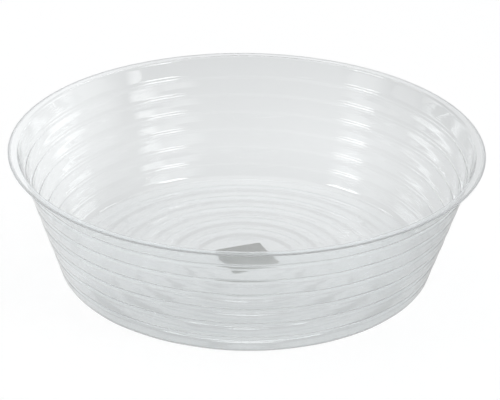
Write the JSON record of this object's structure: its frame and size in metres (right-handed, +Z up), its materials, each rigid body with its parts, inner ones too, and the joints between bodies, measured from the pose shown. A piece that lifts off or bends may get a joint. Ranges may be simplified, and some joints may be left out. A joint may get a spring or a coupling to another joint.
{
  "type": "plant saucer",
  "caption": "Deep round saucer of clear vinyl sheet with a flared, beaded wall, a flat rim flange and raised rings on its base, to catch water under a plant pot.",
  "frame": {"origin": "on the saucer's axis, at the floor that its base rests on", "axes": "+Z up along the axis of the saucer; +X to the right and +Y away, seen as in the picture"},
  "size_m": [0.254, 0.254, 0.07],
  "materials": {
    "clear_vinyl": "clear, glossy, slightly uneven sheet",
    "clear_glue": "clear pressure-sensitive film",
    "grey_paper": "matt, blank"
  },
  "bodies": {
    "root": {"saucer": "clear_vinyl", "sticker_glue": "clear_glue", "sticker_paper": "grey_paper"}
  },
  "joints": []
}
